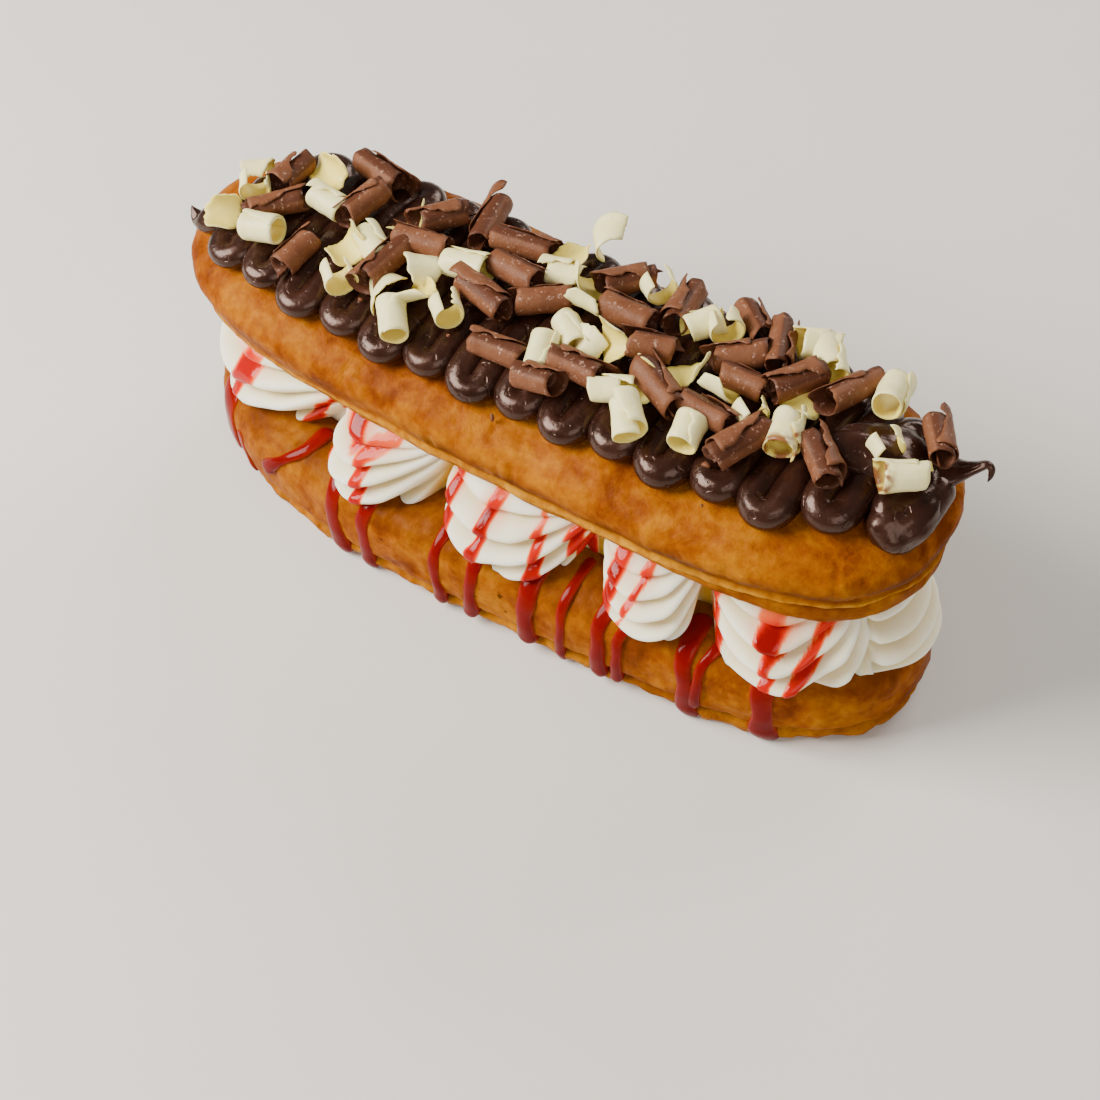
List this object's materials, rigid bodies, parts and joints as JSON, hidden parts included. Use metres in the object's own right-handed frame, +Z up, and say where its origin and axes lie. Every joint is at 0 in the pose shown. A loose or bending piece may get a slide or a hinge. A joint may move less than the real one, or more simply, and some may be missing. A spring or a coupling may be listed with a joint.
{
  "type": "chocolate eclair",
  "caption": "Filled choux finger cut in two, with piped cream swirls, a zigzag of dark chocolate, mixed chocolate curls and thin runs of red sauce.",
  "frame": {"origin": "under the middle of the lower half, on its flat underside", "axes": "+X along the eclair towards the pulled tail of the piping, -Y its front with the sauce, +Z up"},
  "size_m": [0.1678, 0.0594, 0.0682],
  "materials": {
    "baked_crust": "satin baked choux crust, mottled golden orange",
    "whipped_cream": "soft satin",
    "dark_chocolate": "glossy",
    "milk_chocolate": "dull with a pale bloom",
    "white_chocolate": "satin",
    "berry_sauce": "wet and clear red"
  },
  "bodies": {
    "root": {"bun_bottom": "baked_crust", "bun_top": "baked_crust", "cream": "whipped_cream", "chocolate_topping": "dark_chocolate"}
  },
  "joints": []
}
